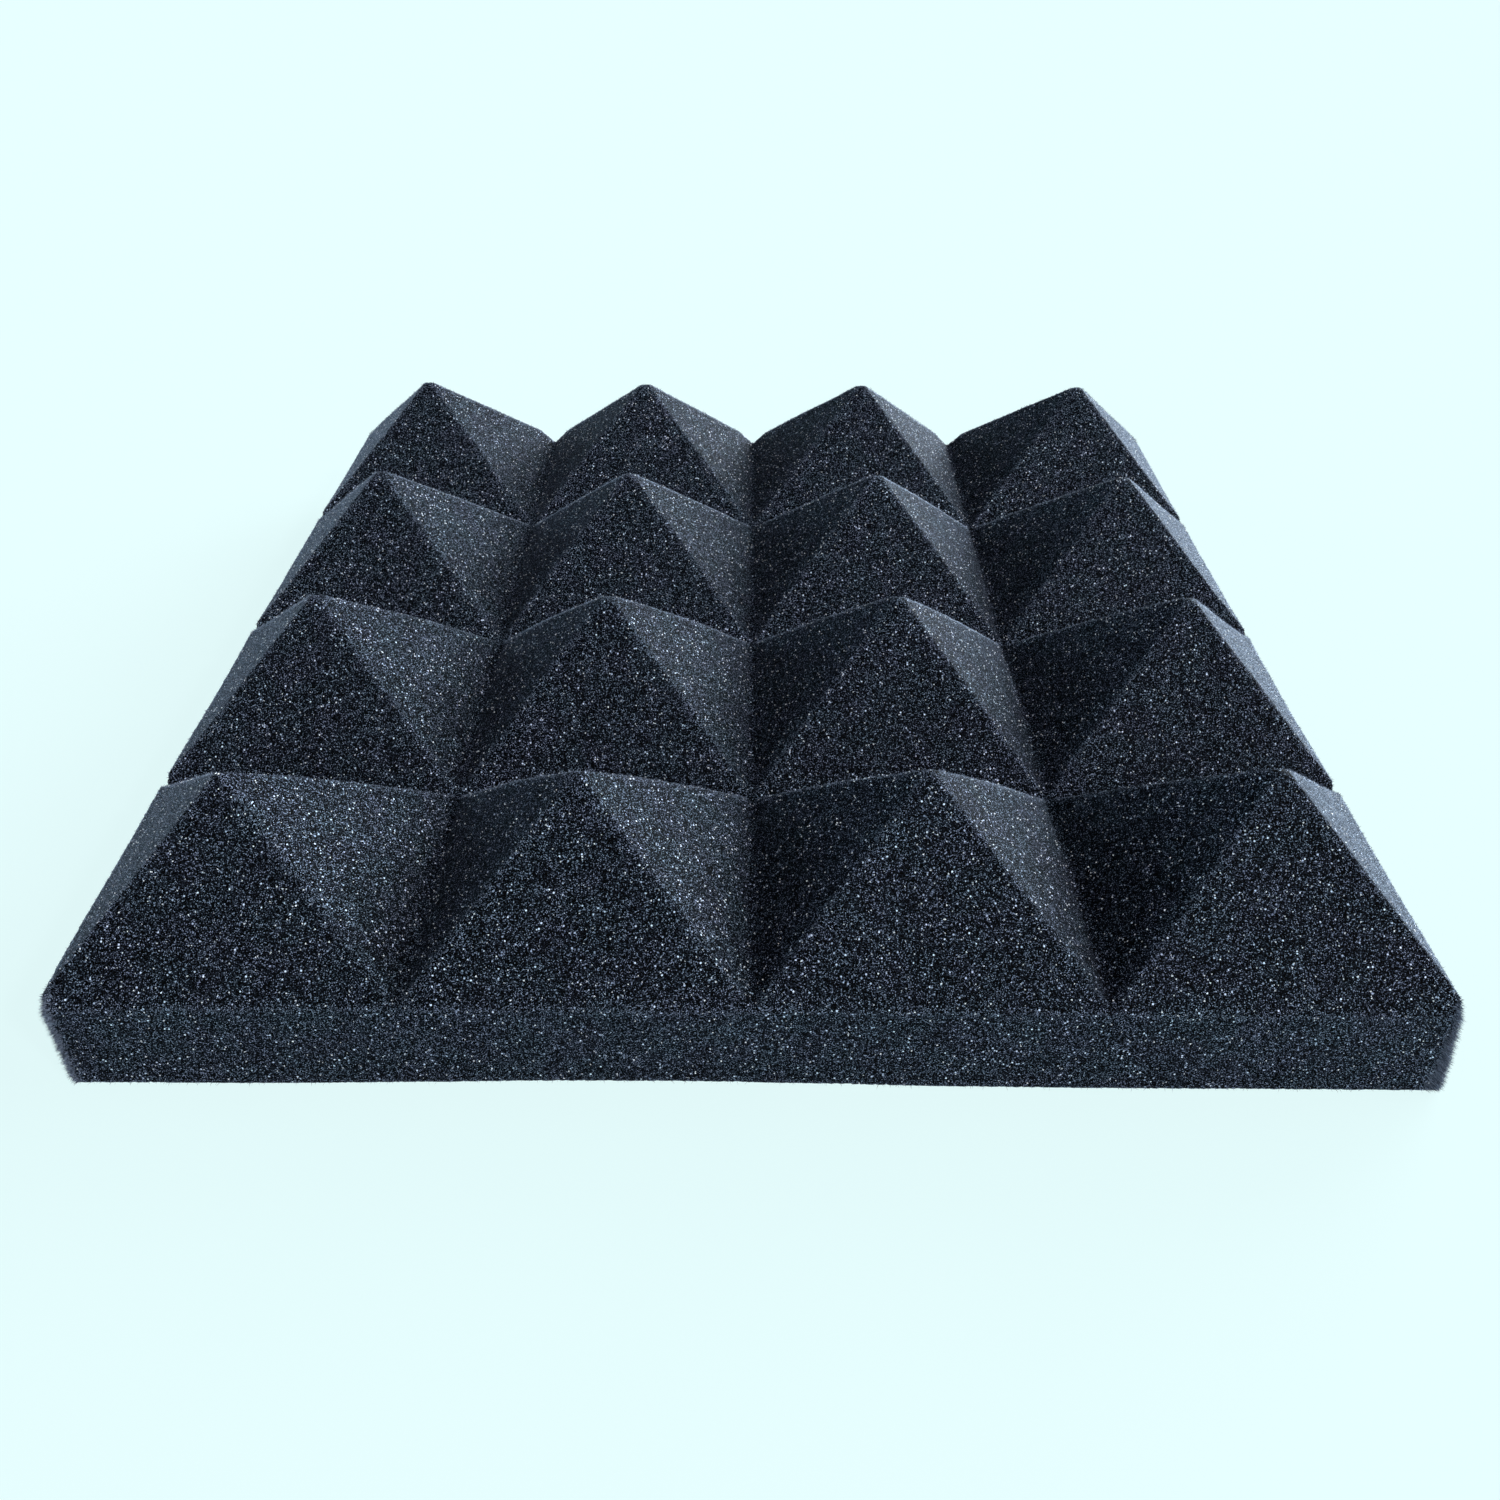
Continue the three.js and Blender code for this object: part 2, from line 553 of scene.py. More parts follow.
@dataclass(frozen=True)
class Drift:
    """How far the soft block strays from its drawing, as the photograph shows.

    Each length is the most that any place moves. Left and right are as the camera sees them.

    Attributes:
        tips_out: the outer tips lean outwards.
        front_left_tip_out: the front left tip leans out further.
        foot_right_out: the slab's foot flares on the right.
        waist_right_in: the right side is drawn in at its middle.
        waist_left_out: the left side swells at its middle.
        first_groove_askew: the groove right of the first column runs askew.
        front_edge_up: the slab's front edge stands high.
        front_left_edge_up: it stands higher still on the left.
        front_left_corner_down: the slab's front left corner is low.
        front_foot_in: the front edge's foot is drawn in, left of the middle.
        troughs_down: how much too deep the three troughs between the rows are cut.
        troughs_shallow: how far that turns round at the sides, where they are too shallow.
        tips_down: all tips are low.
        front_tips_down: the tips of the front row are lower still.
        front_tips_tilt: more so on the left, and less on the right.
        corners_in: the slab's upright corners are worn back, behind their fringe.
        thickness: from the underside to the tips.
        first_tip: roughly the place of the front left tip.
        first_groove: place of the groove right of the first column.
        troughs: places of the troughs between the rows, from the front.
        tip_reach: how far round its tip that pyramid leans.
        groove_reach: how far to either side the groove's drift goes.
        trough_reach: how far to either side a trough is deeper.
        corner_reach: how far along the sides the wear of a corner goes.
        foot_in_at: where along the front edge its foot is drawn in most.
        foot_in_reach: how far to either side of that place it is drawn in.
        edge_power: how steeply the front edge's rise falls off inwards.
        low_power: the same of the low corner and of the drawn-in foot.
        shallow_power: the same of the shallow ends of the troughs.
        worn_power: the same of the worn corners, odd so that both sides move inwards.
    """

    tips_out: float = 1.5 * MM
    front_left_tip_out: float = 1.2 * MM
    foot_right_out: float = 1.9 * MM
    waist_right_in: float = 0.6 * MM
    waist_left_out: float = 0.3 * MM
    first_groove_askew: float = 1.0 * MM
    front_edge_up: float = 0.5 * MM
    front_left_edge_up: float = 0.4 * MM
    front_left_corner_down: float = 1.3 * MM
    front_foot_in: float = 1.1 * MM
    troughs_down: tuple[float, float, float] = (1.6 * MM, 1.6 * MM, 0.6 * MM)
    troughs_shallow: float = 1.3
    tips_down: float = 1.0 * MM
    front_tips_down: float = 1.5 * MM
    front_tips_tilt: float = 2.2 * MM
    corners_in: float = 0.9 * MM
    thickness: float = 50 * MM
    first_tip: Pair = (-95 * MM, -93 * MM)
    first_groove: float = -63.5 * MM
    troughs: tuple[float, float, float] = (-61.5 * MM, 2.0 * MM, 65.5 * MM)
    tip_reach: float = 45 * MM
    groove_reach: float = 20 * MM
    trough_reach: float = 15 * MM
    corner_reach: float = 1.6 * MM
    foot_in_at: float = -20 * MM
    foot_in_reach: float = 50 * MM
    edge_power: int = 4
    low_power: int = 8
    shallow_power: int = 6
    worn_power: int = 41

    def moved(self, places: np.ndarray) -> np.ndarray:
        """Move the clean block's vertices to where the real foam has them.

        Args:
            places: the vertices of the clean block.

        Returns:
            The vertices in their new places.
        """
        x, y, z = places.T
        across = x / HALF_SIDE
        back = y / HALF_SIDE
        right = np.clip(across, 0.0, 1.0)
        left = np.clip(-across, 0.0, 1.0)
        front = np.clip(-back, 0.0, 1.0)
        raised = np.clip((z - SLAB) / (self.thickness - SLAB), 0.0, 1.0)
        lifted = np.clip(z / SLAB, 0.0, 1.0)
        middle = 1.0 - np.clip(back**2, 0.0, 1.0)
        from_tip = np.hypot(x - self.first_tip[0], y - self.first_tip[1]) / self.tip_reach
        by_groove = bell((x - self.first_groove) / self.groove_reach)
        at_corner = bell((HALF_SIDE - np.abs(y)) / self.corner_reach)
        sideways = self.tips_out * across * raised
        sideways -= self.front_left_tip_out * raised * bell(from_tip)
        sideways += self.foot_right_out * right * (1.0 - lifted)
        sideways -= self.waist_right_in * right**2 * middle
        sideways -= self.waist_left_out * left**2 * middle
        sideways -= self.first_groove_askew * back * by_groove
        sideways -= self.corners_in * across**self.worn_power * at_corner
        edge = self.front_edge_up + self.front_left_edge_up * (1.0 - right)
        upwards = edge * front**self.edge_power
        upwards -= self.front_left_corner_down * (front * left) ** self.low_power
        deep = 1.0 - self.troughs_shallow * across**self.shallow_power
        for trough, deeper in zip(self.troughs, self.troughs_down):
            in_trough = bell((y - trough) / self.trough_reach)
            upwards -= deeper * deep * (1.0 - raised) * in_trough
        upwards *= lifted
        front_tips = self.front_tips_down - self.front_tips_tilt * across
        upwards -= raised * (self.tips_down + front_tips * front)
        inwards = self.front_foot_in * front**self.low_power * (1.0 - lifted)
        inwards *= bell((x - self.foot_in_at) / self.foot_in_reach)
        return np.column_stack((x + sideways, y + inwards, z + upwards))


@dataclass(frozen=True)
class Relief:
    """A procedural texture that moves the foam's surface along its normals.

    Attributes:
        kind: the texture's kind.
        scale: size of its features.
        depth: how far the surface moves between its lowest and highest value.
    """

    kind: str
    scale: float
    depth: float

    def cut(self, block: Piece) -> None:
        """Move the surface of the block by the texture.

        Args:
            block: the piece to change.
        """
        name = f"{self.kind.lower()}_{round(self.scale / MM, 2)}"
        texture = bpy.data.textures.new(name, self.kind)
        texture.noise_scale = self.scale
        displace = block.modifiers.new("relief", "DISPLACE")
        displace.texture = texture
        displace.texture_coords = "LOCAL"
        displace.strength = self.depth
        applied(block, displace)


@dataclass
class FoamBlock:
    """The foam block: a slab with rows of pyramids, cut from one piece of foam.

    Attributes:
        finish: its finish.
        drift: how far it strays from its drawing.
        node: the CAD node that it stands for.
        weld: distance within which corners of the CAD solid's triangles are joined.
        voxel: spacing of the first mesh over the CAD solid.
        pitch: distance between rows of tips.
        rows: number of rows each way.
        first_tip: place of the front left tip in the drawing.
        edge_width: how far from a cut edge its fraying reaches.
        slope_limit: height of the normal above which a face is in the top chart.
        underside_limit: height of the normal below which it is in the underside's.
        underside_margin: rim of the underside that has the fine mesh.
        wall_height: height of the side charts.
        reliefs: the broad swells, the cells and the grains.
        ease_steps: how many times the normals are blurred.
    """

    finish: CharcoalFoam
    drift: Drift
    node: str = "foam_panel"
    weld: float = 0.001 * MM
    voxel: float = 1.0 * MM
    pitch: float = 63.5 * MM
    rows: int = 4
    first_tip: Pair = (-95.25 * MM, -93.25 * MM)
    edge_width: float = 0.8 * MM
    slope_limit: float = 0.35
    underside_limit: float = -0.7
    underside_margin: float = 4 * MM
    wall_height: float = 22 * MM
    reliefs: tuple[Relief, ...] = (
        Relief("CLOUDS", 18 * MM, 0.4 * MM),
        Relief("VORONOI", 0.65 * MM, 0.22 * MM),
        Relief("CLOUDS", 0.5 * MM, 0.20 * MM),
    )
    ease_steps: int = 8

    def build(self) -> Piece:
        """Model the block.

        Returns:
            The finished piece.
        """
        block = self._copied()
        self._meshed(block)
        self._unfold(block.data)
        self._find_cut_edges(block.data)
        set_places(block.data, self.drift.moved(read(block.data.vertices, "co", 3)))
        self._remember_slopes(block.data)
        self._cut_open(block)
        block.data.materials.clear()
        block.data.materials.append(self.finish.material("charcoal_open_cell_foam"))
        return block

    def _copied(self) -> Piece:
        """Copy the CAD node's mesh into a piece of its own and join its loose triangles.

        Returns:
            The new piece.
        """
        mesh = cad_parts[self.node].data.copy()
        mesh.name = "foam_block"
        block = bpy.data.objects.new("foam_block", mesh)
        bpy.context.scene.collection.objects.link(block)
        made_active(block)
        bpy.ops.object.mode_set(mode="EDIT")
        bpy.ops.mesh.select_all(action="SELECT")
        bpy.ops.mesh.remove_doubles(threshold=self.weld)
        bpy.ops.object.mode_set(mode="OBJECT")
        return block

    def _meshed(self, block: Piece) -> None:
        """Remesh the solid evenly, and once finer wherever cells will show.

        Args:
            block: the piece.
        """
        remesh = block.modifiers.new("even_mesh", "REMESH")
        remesh.mode = "VOXEL"
        remesh.voxel_size = self.voxel
        applied(block, remesh)
        middles = read(block.data.polygons, "center", 3)
        normals = read(block.data.polygons, "normal", 3)
        inner = np.abs(middles[:, :2]).max(axis=1) < HALF_SIDE - self.underside_margin
        open_faces = ~((normals[:, 2] < self.underside_limit) & inner)
        made_active(block)
        bpy.ops.object.mode_set(mode="EDIT")
        bpy.ops.mesh.select_mode(type="FACE")
        bpy.ops.mesh.select_all(action="DESELECT")
        bpy.ops.object.mode_set(mode="OBJECT")
        block.data.polygons.foreach_set("select", open_faces)
        bpy.ops.object.mode_set(mode="EDIT")
        bpy.ops.mesh.subdivide(number_cuts=1)
        bpy.ops.object.mode_set(mode="OBJECT")
        sharpen = block.modifiers.new("sharp_edges", "SHRINKWRAP")
        sharpen.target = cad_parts[self.node]
        sharpen.wrap_method = "NEAREST_SURFACEPOINT"
        applied(block, sharpen)

    def _unfold(self, mesh: Mesh) -> None:
        """Lay the surface out flat for baking, while its faces are still clean.

        Args:
            mesh: the block's mesh.
        """
        places = read(mesh.vertices, "co", 3)
        sizes = read(mesh.polygons, "loop_total", kind=np.int32)
        corners = read(mesh.loops, "vertex_index", kind=np.int32)
        chart = np.repeat(self._chart_of(read(mesh.polygons, "normal", 3)), sizes)
        low = np.array(CAD_BOX[0])
        spread = np.array(CAD_BOX[1]) - low
        share = (places[corners] - low) / spread
        height = (places[corners, 2] - low[2]) / self.wall_height
        flat = np.empty((len(corners), 2))
        for number, side in enumerate(Chart):
            left, bottom, wide, high = side.value
            mine = chart == number
            along = share[mine, 1 if side in (Chart.LEFT, Chart.RIGHT) else 0]
            up = share[mine, 1] if side in (Chart.TOP, Chart.UNDERSIDE) else height[mine]
            flat[mine, 0] = left + wide * along
            flat[mine, 1] = bottom + high * np.clip(up, 0.0, 1.0)
        layer = mesh.uv_layers.new(name=BAKE_MAP)
        layer.data.foreach_set("uv", flat.ravel())

    def _chart_of(self, normals: np.ndarray) -> np.ndarray:
        """Choose each face's chart by the way it faces.

        Args:
            normals: the faces' normals.

        Returns:
            The number of the chart of each face.
        """
        x, y, z = normals.T
        number = {side: count for count, side in enumerate(Chart)}
        ends = np.where(y < 0, number[Chart.FRONT], number[Chart.BACK])
        sides = np.where(x < 0, number[Chart.LEFT], number[Chart.RIGHT])
        chart = np.where(np.abs(x) > np.abs(y), sides, ends)
        chart = np.where(z > self.slope_limit, number[Chart.TOP], chart)
        return np.where(z < self.underside_limit, number[Chart.UNDERSIDE], chart)

    def _find_cut_edges(self, mesh: Mesh) -> None:
        """Mark how near each place is to one of the edges that the cutter left.

        Args:
            mesh: the block's mesh, while it still has the CAD solid's shape.
        """
        x, y, z = read(mesh.vertices, "co", 3).T
        to_tip_x = self._to_next_tip(x, self.first_tip[0])
        to_tip_y = self._to_next_tip(y, self.first_tip[1])
        off_hip = np.abs(to_tip_x - to_tip_y) / math.sqrt(2.0)
        off_hip = np.where(z > SLAB + self.edge_width, off_hip, math.inf)
        gaps = np.stack((HALF_SIDE - np.abs(x), HALF_SIDE - np.abs(y), z - UNDERSIDE))
        nearest, second, _ = np.sort(gaps, axis=0)
        off_wall_top = np.hypot(nearest, np.abs(z - SLAB))
        off_corner = np.hypot(nearest, second)
        off_edge = np.minimum(np.minimum(off_hip, off_wall_top), off_corner)
        set_values(mesh, self.finish.edge_name, "FLOAT", bell(off_edge / self.edge_width))

    def _to_next_tip(self, places: np.ndarray, first: float) -> np.ndarray:
        """Give the distance along one axis to the nearest row of tips."""
        steps = np.clip(np.round((places - first) / self.pitch), 0, self.rows - 1)
        return np.abs(places - first - steps * self.pitch)

    def _remember_slopes(self, mesh: Mesh) -> None:
        """Keep the uncut surface's normals for the haze of the cell walls.

        Args:
            mesh: the block's mesh before its cells are cut.
        """
        ends = read(mesh.edges, "vertices", 2, np.int32)
        slopes = self._eased(read(mesh.vertices, "normal", 3), ends)
        set_values(mesh, self.finish.slope_name, "FLOAT_VECTOR", slopes)

    def _eased(self, slopes: np.ndarray, ends: np.ndarray) -> np.ndarray:
        """Blur normals, because light creeps round the edges of open foam.

        Args:
            slopes: the normal at each vertex.
            ends: the two vertices of each edge.

        Returns:
            The blurred normals.
        """
        total = len(slopes)
        starts, stops = ends.T
        neighbours = np.bincount(ends.ravel(), minlength=total)
        for _ in range(self.ease_steps):
            drawn = slopes.copy()
            for axis in range(3):
                drawn[:, axis] += np.bincount(starts, slopes[stops, axis], total)
                drawn[:, axis] += np.bincount(stops, slopes[starts, axis], total)
            slopes = drawn / (neighbours[:, None] + 1)
        return slopes / np.linalg.norm(slopes, axis=1)[:, None]

    def _cut_open(self, block: Piece) -> None:
        """Sink pores into the surface and leave it slightly uneven.

        Args:
            block: the piece.
        """
        for relief in self.reliefs:
            relief.cut(block)
        places = read(block.data.vertices, "co", 3)
        places[:, 2] = np.maximum(places[:, 2], UNDERSIDE)
        set_places(block.data, places)


@dataclass(frozen=True)
class StrutFinish:
    """The finish of the thin struts, which look pale and frosty; their paler colours are painted
    light, standing for light that comes through thin struts.

    Attributes:
        dark: colour of the darkest struts.
        pale: colour of the palest struts, painted light: on struts the glow of light coming
            through them, on windows their glint.
        roughness: roughness of their gloss.
        specular: strength of their gloss.
        tone_bias: power that makes dark ones, above 1, or pale ones, below 1, more common.
        tone_name: attribute that holds how pale each strut is.
    """

    dark: Colour = (0.013, 0.018, 0.030)
    # Painted glow: the pale end stands for light coming through thin struts.
    pale: Colour = (0.28, 0.33, 0.44)
    roughness: float = 0.6
    specular: float = 0.2
    tone_bias: float = 1.5
    tone_name: str = "strut_tone"

    def material(self, name: str) -> bpy.types.Material:
        """Build the finish.

        Args:
            name: the material's name.

        Returns:
            The material.
        """
        material = bpy.data.materials.new(name)
        bench = new_bench(material)
        tone = bench.add("ShaderNodeAttribute", {"attribute_name": self.tone_name})
        colour = bench.mix(tone.outputs["Fac"], rgba(self.dark), rgba(self.pale))
        shader = bench.add(
            "ShaderNodeBsdfPrincipled",
            Base_Color=colour,
            Roughness=self.roughness,
            Specular_IOR_Level=self.specular,
        )
        bench.finish("ShaderNodeOutputMaterial", shader.outputs[0])
        return material


@dataclass
class CutStruts:
    """The struts of cut cells, which stand out of the foam like very short fur.

    Each strut is a slim closed spike on the finished foam block. Short thick ones stand for the
    windows of cells; their near-white colour is a painted highlight, and they come out brightest
    where they face a lamp.

    Attributes:
        name: the piece's name.
        seed: start of its random numbers.
        counts: number of struts on each part of the surface.
        finish: the struts' finish.
        length: shortest and longest strut.
        width: thinnest and thickest strut.
        corner_growth: how much longer they are on the slab's upright corners.
        foot_growth: how much longer or shorter they are along the underside.
        foot_share: how many there are along the underside, against other edges.
        splay: how far those on an upright corner lean out, off both of its sides.
        spread: how far struts lean off the surface's normal.
        scatter: how far a foot is from its vertex.
        sunk: how deep a strut's foot is in the foam.
        outer_slope: how far a face looks outwards to count as one above a side of the slab.
        outer_band: how far in from a side such faces reach.
        upright: steepness, as the normal's height, from which a face counts as a side.
        corner_reach: how far from a corner or from the underside a foot counts as near.
        corner_height: how high the upright corners go.
    """

    name: str
    seed: int
    counts: dict[Zone, int]
    finish: StrutFinish = StrutFinish()
    length: Pair = (0.20 * MM, 0.60 * MM)
    width: Pair = (0.08 * MM, 0.16 * MM)
    corner_growth: float = 2.0
    foot_growth: float = 0.6
    foot_share: float = 0.6
    splay: float = 0.9
    spread: float = 0.45
    scatter: float = 0.20 * MM
    sunk: float = 0.20 * MM
    outer_slope: float = 0.30
    outer_band: float = 34 * MM
    upright: float = 0.35
    corner_reach: float = 1.5 * MM
    corner_height: float = 23 * MM

    def build(self, block: Piece, foam: CharcoalFoam) -> Piece:
        """Model the struts.

        Args:
            block: the finished foam block that they stand on.
            foam: its finish, which names the block's attributes.

        Returns:
            The finished piece.
        """
        chance = np.random.default_rng(self.seed)
        places = read(block.data.vertices, "co", 3)
        slopes = read(block.data.attributes[foam.slope_name].data, "vector", 3)
        edges = read(block.data.attributes[foam.edge_name].data, "value")
        picked = []
        for zone, count in self.counts.items():
            weights = self._weights(zone, places, slopes, edges)
            picked.append(chance.choice(len(places), count, p=weights / weights.sum()))
        chosen = np.concatenate(picked)
        ways = slopes[chosen]
        shift = chance.normal(size=ways.shape)
        shift -= (shift * ways).sum(axis=1)[:, None] * ways
        mesh = self._spikes(places[chosen] + self.scatter * shift, ways, chance)
        piece = bpy.data.objects.new(self.name, mesh)
        bpy.context.scene.collection.objects.link(piece)
        # The struts' pale colours are painted light.
        mesh.materials.append(self.finish.material(f"{self.name}_painted_light_struts"))
        return piece

    def _weights(
        self, zone: Zone, places: np.ndarray, slopes: np.ndarray, edges: np.ndarray
    ) -> np.ndarray:
        """Give how likely each vertex of the block is to carry a strut.

        Args:
            zone: the part of the surface that the struts stand on.
            places: the block's vertices.
            slopes: the normals of the uncut surface there.
            edges: how near each is to a cut edge.

        Returns:
            The weight of each vertex.
        """
        outer = np.abs(places) > HALF_SIDE - self.outer_band
        away = outer & (slopes * np.sign(places) > self.outer_slope)
        is_open = slopes[:, 2] > -self.upright
        sloped = slopes[:, 2] > self.upright
        if zone is Zone.EDGES:
            return edges * np.where(self._is_low(places), self.foot_share, 1.0)
        if zone is Zone.CORNERS:
            return self._near_corner(places) * is_open
        members = {
            Zone.SAWN_SIDES: is_open & ~sloped,
            Zone.SIDE_SLOPES: sloped & away[:, 0],
            Zone.END_SLOPES: sloped & away[:, 1],
            Zone.INNER_SLOPES: sloped & ~away[:, 0] & ~away[:, 1],
            Zone.OPEN_FOAM: is_open,
        }
        return members[zone].astype(float)

    def _is_low(self, places: np.ndarray) -> np.ndarray:
        """Tell which places are along the underside."""
        return places[:, 2] < UNDERSIDE + self.corner_reach

    def _near_corner(self, places: np.ndarray) -> np.ndarray:
        """Give how near places on the sides are to the slab's upright corners.

        Args:
            places: one row of x, y and z for each place.

        Returns:
            1 at a corner, falling to 0 away from it, and 0 above the corners.
        """
        off_corner = HALF_SIDE - np.abs(places[:, :2]).min(axis=1)
        near = bell(off_corner / self.corner_reach)
        return np.where(places[:, 2] < self.corner_height, near, 0.0)

    def _spikes(self, feet: np.ndarray, ways: np.ndarray, chance: np.random.Generator) -> Mesh:
        """Build one closed three-sided spike on each foot.

        Args:
            feet: where the struts leave the foam.
            ways: the way out of the foam at each foot.
            chance: the source of random numbers.

        Returns:
            The mesh of all struts.
        """
        count = len(feet)
        near = self._near_corner(feet)
        outwards = np.column_stack((np.sign(feet[:, :2]), np.zeros(count)))
        ways = ways + self.splay * near[:, None] * outwards
        ways += self.spread * chance.normal(size=(count, 3))
        ways /= np.linalg.norm(ways, axis=1)[:, None]
        first = np.cross(ways, chance.normal(size=(count, 3)))
        first /= np.linalg.norm(first, axis=1)[:, None]
        second = np.cross(ways, first)
        growth = 1.0 + (self.corner_growth - 1.0) * near
        growth = np.where(self._is_low(feet), self.foot_growth, growth)
        length = chance.uniform(*self.length, size=(count, 1)) * growth[:, None]
        radius = chance.uniform(*self.width, size=(count, 1)) / 2
        base = feet - self.sunk * ways
        ring = [
            base + radius * (math.cos(turn) * first + math.sin(turn) * second)
            for turn in 2 * math.pi * np.arange(3) / 3
        ]
        points = np.stack([*ring, feet + length * ways], axis=1)
        points = points[(points[:, :, 2] > UNDERSIDE).all(axis=1)]
        count = len(points)
        starts = SPIKE_CORNERS * np.arange(count)[:, None, None]
        faces = (starts + np.array(SPIKE_FACES)).reshape(-1, 3)
        mesh = bpy.data.meshes.new(self.name)
        mesh.from_pydata(points.reshape(-1, 3).tolist(), [], faces.tolist())
        tone = np.repeat(chance.random(count) ** self.finish.tone_bias, SPIKE_CORNERS)
        set_values(mesh, self.finish.tone_name, "FLOAT", tone)
        self._unfold(mesh, count)
        return mesh

    def _unfold(self, mesh: Mesh, count: int) -> None:
        """Give each strut a small square of its own to bake into.

        Args:
            mesh: the struts' mesh.
            count: the number of struts.
        """
        across = math.ceil(math.sqrt(count))
        strut = np.repeat(np.arange(count), np.size(SPIKE_FACES))
        square = np.stack((strut % across, strut // across), axis=1)
        inside = np.tile(FACE_IN_SQUARE, (count * len(SPIKE_FACES), 1))
        layer = mesh.uv_layers.new(name=BAKE_MAP)
        layer.data.foreach_set("uv", ((square + inside) / across).ravel())


@dataclass(frozen=True)
class SoftLamp:
    """A large soft lamp, so far off that it lights the whole panel alike.

    Attributes:
        name: the lamp's name.
        towards: the way from the panel to the lamp.
        level: how bright a white surface that faces it looks.
        width: how wide the lamp looks from the panel, in degrees.
        colour: the colour of its light.
    """

    name: str
    towards: Place
    level: float
    width: float = 35.0
    colour: Colour = (0.88, 0.97, 1.0)

    def build(self) -> None:
        """Hang the lamp."""
        bpy.ops.object.light_add(type="SUN", location=self.towards)
        lamp = bpy.context.active_object
        lamp.name = self.name
        lamp.data.energy = self.level * math.pi
        lamp.data.angle = math.radians(self.width)
        lamp.data.color = self.colour
        lamp.rotation_euler = Vector(self.towards).to_track_quat("Z", "Y").to_euler()


@dataclass(frozen=True)
class Studio:
    """The pale table, the white surroundings and the lamps.

    Attributes:
        backdrop: the colour that the camera sees behind and below the panel.
        shadow_share: how much of the table's colour gives way to light and shadow.
        table_lit: how bright the lamps make a white table.
        table_radius: radius of the round table.
        ambient: colour of the light that comes from all round.
        ambient_strength: brightness of that light.
        lamps: the lamps.
    """

    backdrop: Colour = (0.807, 1.0, 1.0)
    shadow_share: float = 0.08
    table_lit: float = 1.40
    table_radius: float = 4.0
    ambient: Colour = (0.64, 0.85, 1.0)
    ambient_strength: float = 0.13
    lamps: tuple[SoftLamp, ...] = (
        SoftLamp("rim_from_behind", (0.65, 0.70, 0.25), 2.05),
        SoftLamp("low_from_the_right", (0.90, 0.25, 0.36), 0.74),
        SoftLamp("high_from_the_right", (0.80, 0.10, 0.56), 0.12),
        SoftLamp("spot_from_the_front_right", (0.60, -0.50, 0.60), 0.38, 5.0, (0.97, 0.98, 1.0)),
        SoftLamp("fill_from_the_front", (0.10, -0.80, 0.60), 0.42, 35.0, (0.97, 0.97, 1.0)),
        SoftLamp("low_from_the_left", (-0.95, 0.15, 0.15), 0.52, 35.0, (0.70, 0.90, 1.0)),
    )

    def build(self) -> None:
        """Set up the table, the world and the lamps."""
        self._table()
        self._world()
        for lamp in self.lamps:
            lamp.build()

    def _table(self) -> None:
        """Lay the pale table that the panel stands on."""
        bpy.ops.mesh.primitive_circle_add(
            vertices=96, radius=self.table_radius, fill_type="NGON", location=(0, 0, 0)
        )
        table = bpy.context.active_object
        table.name = "table"
        material = bpy.data.materials.new("pale_table")
        bench = new_bench(material)
        paint = bench.add("ShaderNodeBsdfDiffuse", Color=rgba(self.backdrop))
        evened = (1.0 - self.shadow_share * self.table_lit) / (1.0 - self.shadow_share)
        glow = bench.add("ShaderNodeEmission", Color=rgba(self.backdrop), Strength=evened)
        path = bench.add("ShaderNodeLightPath")
        share = bench.math("MULTIPLY", path.outputs["Is Camera Ray"], 1.0 - self.shadow_share)
        lit = bench.layered(share, paint.outputs[0], glow.outputs[0])
        bench.finish("ShaderNodeOutputMaterial", lit)
        table.data.materials.append(material)

    def _world(self) -> None:
        """Surround the scene with soft light, and show the backdrop to the camera."""
        world = bpy.data.worlds.new("white_studio")
        bpy.context.scene.world = world
        bench = new_bench(world)
        soft = bench.add(
            "ShaderNodeBackground", Color=rgba(self.ambient), Strength=self.ambient_strength
        )
        seen = bench.add("ShaderNodeBackground", Color=rgba(self.backdrop), Strength=1.0)
        path = bench.add("ShaderNodeLightPath")
        lit = bench.layered(path.outputs["Is Camera Ray"], soft.outputs[0], seen.outputs[0])
        bench.finish("ShaderNodeOutputWorld", lit)


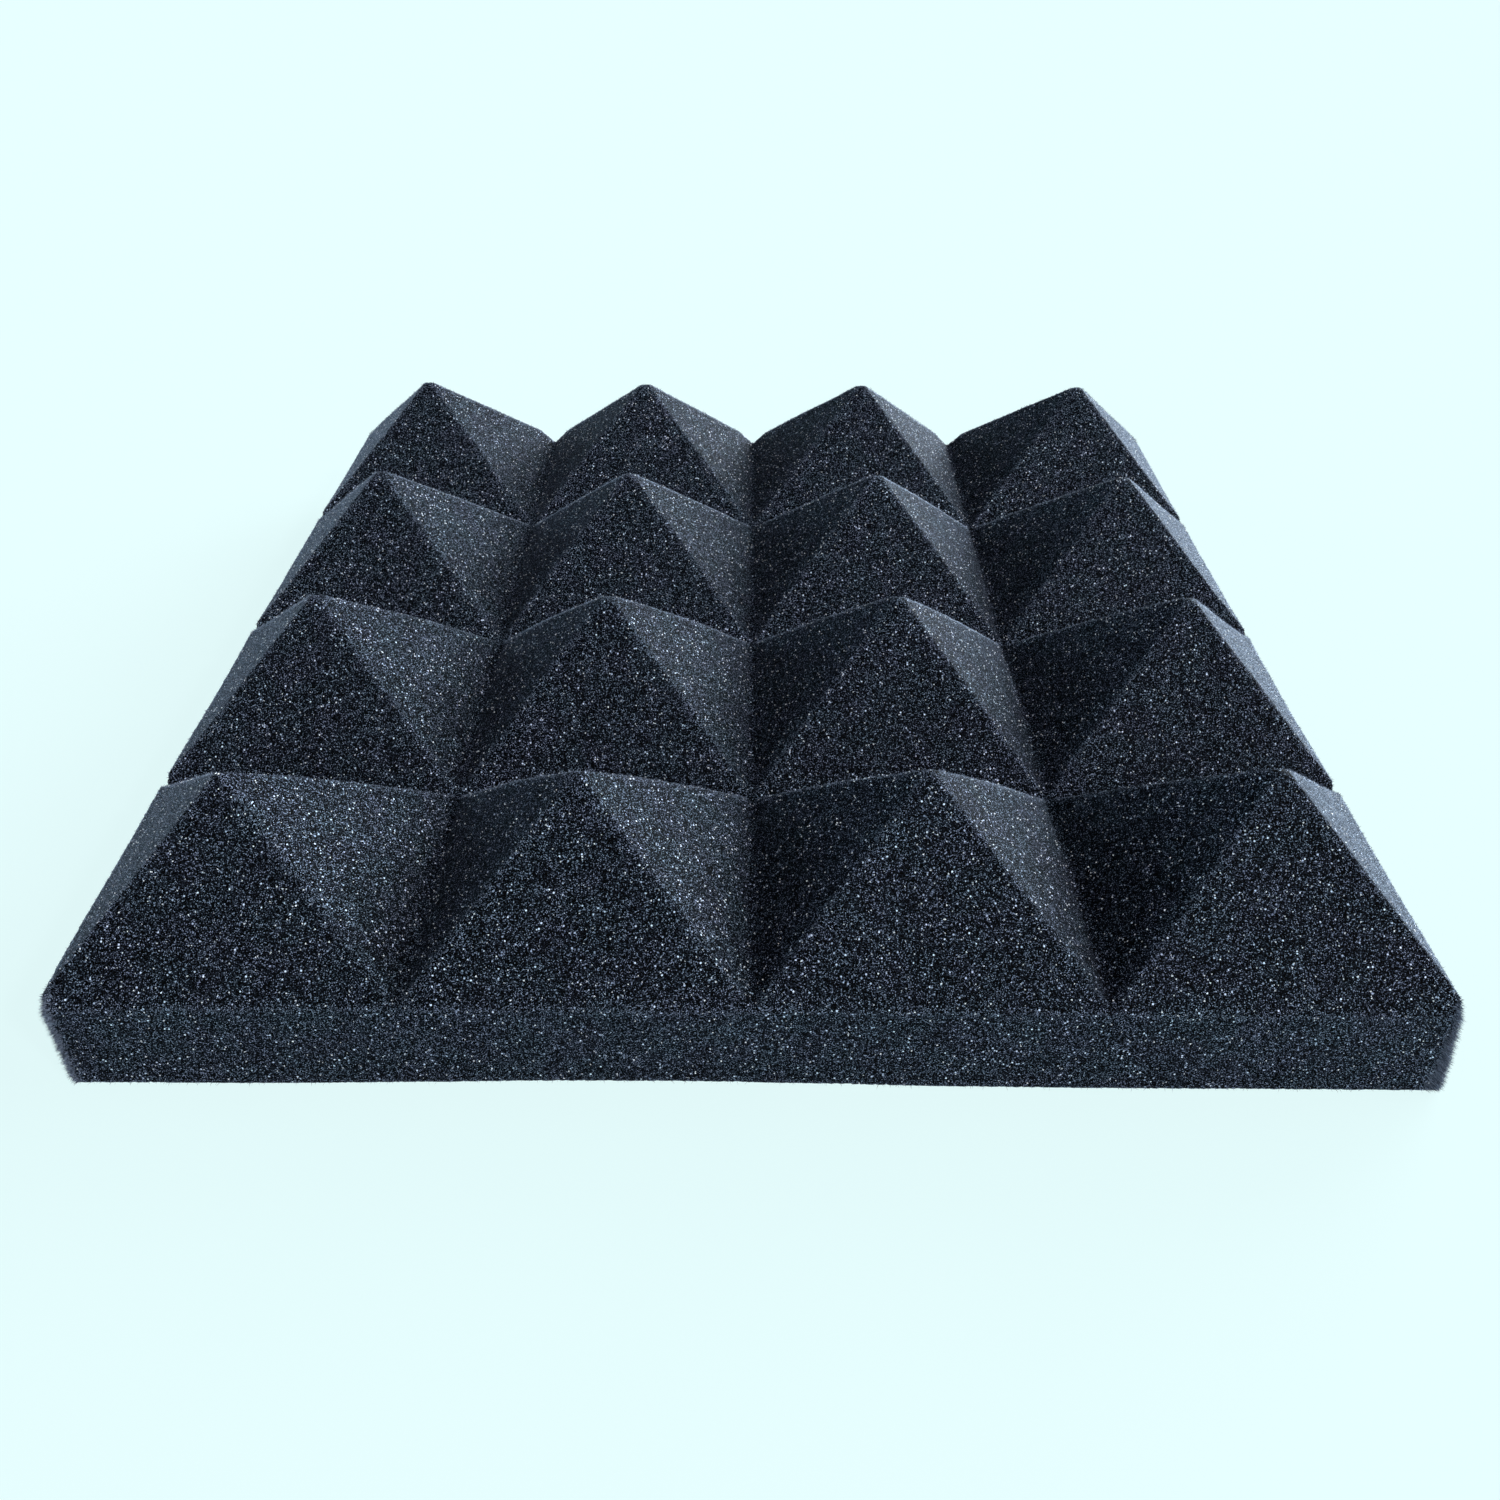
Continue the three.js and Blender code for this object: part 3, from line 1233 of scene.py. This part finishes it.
@dataclass(frozen=True)
class PhotoCamera:
    """The camera of the photograph, worked out from the panel's tips, valleys and corners.

    Attributes:
        place: where it stands.
        pitch: how far it looks down, in degrees.
        turn: how far it is turned to the right, in degrees.
        roll: how far it leans, in degrees.
        focal: its focal length in the picture's pixels.
        picture: width of the picture in pixels.
        sensor: width of the sensor in millimetres.
        clip_start: distance from which it sees anything.
    """

    place: Place = (-1.3 * MM, -287.2 * MM, 194.25 * MM)
    pitch: float = 35.98
    turn: float = 0.173
    roll: float = 0.48
    focal: float = 1333.0
    picture: float = 1500.0
    sensor: float = 36.0
    clip_start: float = 0.01

    def build(self) -> None:
        """Set up the camera."""
        data = bpy.data.cameras.new("photo_camera")
        data.sensor_fit = "HORIZONTAL"
        data.sensor_width = self.sensor
        data.lens = self.focal / self.picture * self.sensor
        data.clip_start = self.clip_start
        camera = bpy.data.objects.new("photo_camera", data)
        bpy.context.scene.collection.objects.link(camera)
        aim = Matrix.Rotation(-math.radians(self.turn), 4, "Z")
        aim = aim @ Matrix.Rotation(math.radians(90 - self.pitch), 4, "X")
        aim = aim @ Matrix.Rotation(math.radians(self.roll), 4, "Z")
        camera.matrix_world = Matrix.Translation(Vector(self.place)) @ aim
        bpy.context.scene.camera = camera


def log_size(piece: Piece) -> None:
    """Log how many triangles a piece has."""
    piece.data.calc_loop_triangles()
    LOG.info("%s: %d triangles", piece.name, len(piece.data.loop_triangles))


def strut_pieces() -> tuple[CutStruts, ...]:
    """List the pieces that stand on the foam block.

    Returns:
        The three pieces of struts and the piece of cell windows, in building order.
    """
    # Painted sheen: the struts on the side slopes are paler, standing for the pale haze that
    # those slopes show at a grazing angle.
    painted_sheen_finish = StrutFinish(dark=(0.05, 0.06, 0.09), pale=(0.40, 0.46, 0.57))
    # Painted highlight: the windows' near-white colour stands for the glint of their gloss; how
    # bright each comes out still depends on the lamps that fall on it.
    painted_glint_finish = StrutFinish(
        dark=(0.16, 0.19, 0.25), pale=(0.95, 0.97, 1.0), roughness=0.35, tone_bias=0.5
    )
    return (
        CutStruts(
            "edge_struts",
            seed=11,
            counts={Zone.EDGES: 34000, Zone.CORNERS: 10000},
            corner_growth=3.0,
            foot_growth=1.8,
            foot_share=1.5,
        ),
        CutStruts("side_struts", seed=12, counts={Zone.SIDE_SLOPES: 17000}, finish=painted_sheen_finish),
        CutStruts(
            "face_struts",
            seed=13,
            counts={Zone.END_SLOPES: 8000, Zone.SAWN_SIDES: 16000, Zone.INNER_SLOPES: 14000},
            length=(0.15 * MM, 0.40 * MM),
        ),
        CutStruts(
            "cell_windows",
            seed=16,
            counts={Zone.OPEN_FOAM: 13000},
            finish=painted_glint_finish,
            length=(0.10 * MM, 0.26 * MM),
            width=(0.24 * MM, 0.54 * MM),
            corner_growth=1.0,
            foot_growth=1.0,
            sunk=0.05 * MM,
        ),
    )


def main() -> None:
    """Build the panel, its studio and its camera."""
    logging.basicConfig(level=logging.INFO, format="%(name)s: %(message)s")
    nothing_selected()
    finish = CharcoalFoam()
    block = FoamBlock(finish, Drift()).build()
    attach(block, "root")
    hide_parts("foam_panel")
    log_size(block)
    for struts in strut_pieces():
        piece = struts.build(block, finish)
        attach(piece, "root")
        log_size(piece)
    Studio().build()
    PhotoCamera().build()
    LOG.info("studio and camera are set up")
    bpy.context.scene.view_settings.view_transform = "Standard"


if __name__ == "__main__":
    main()
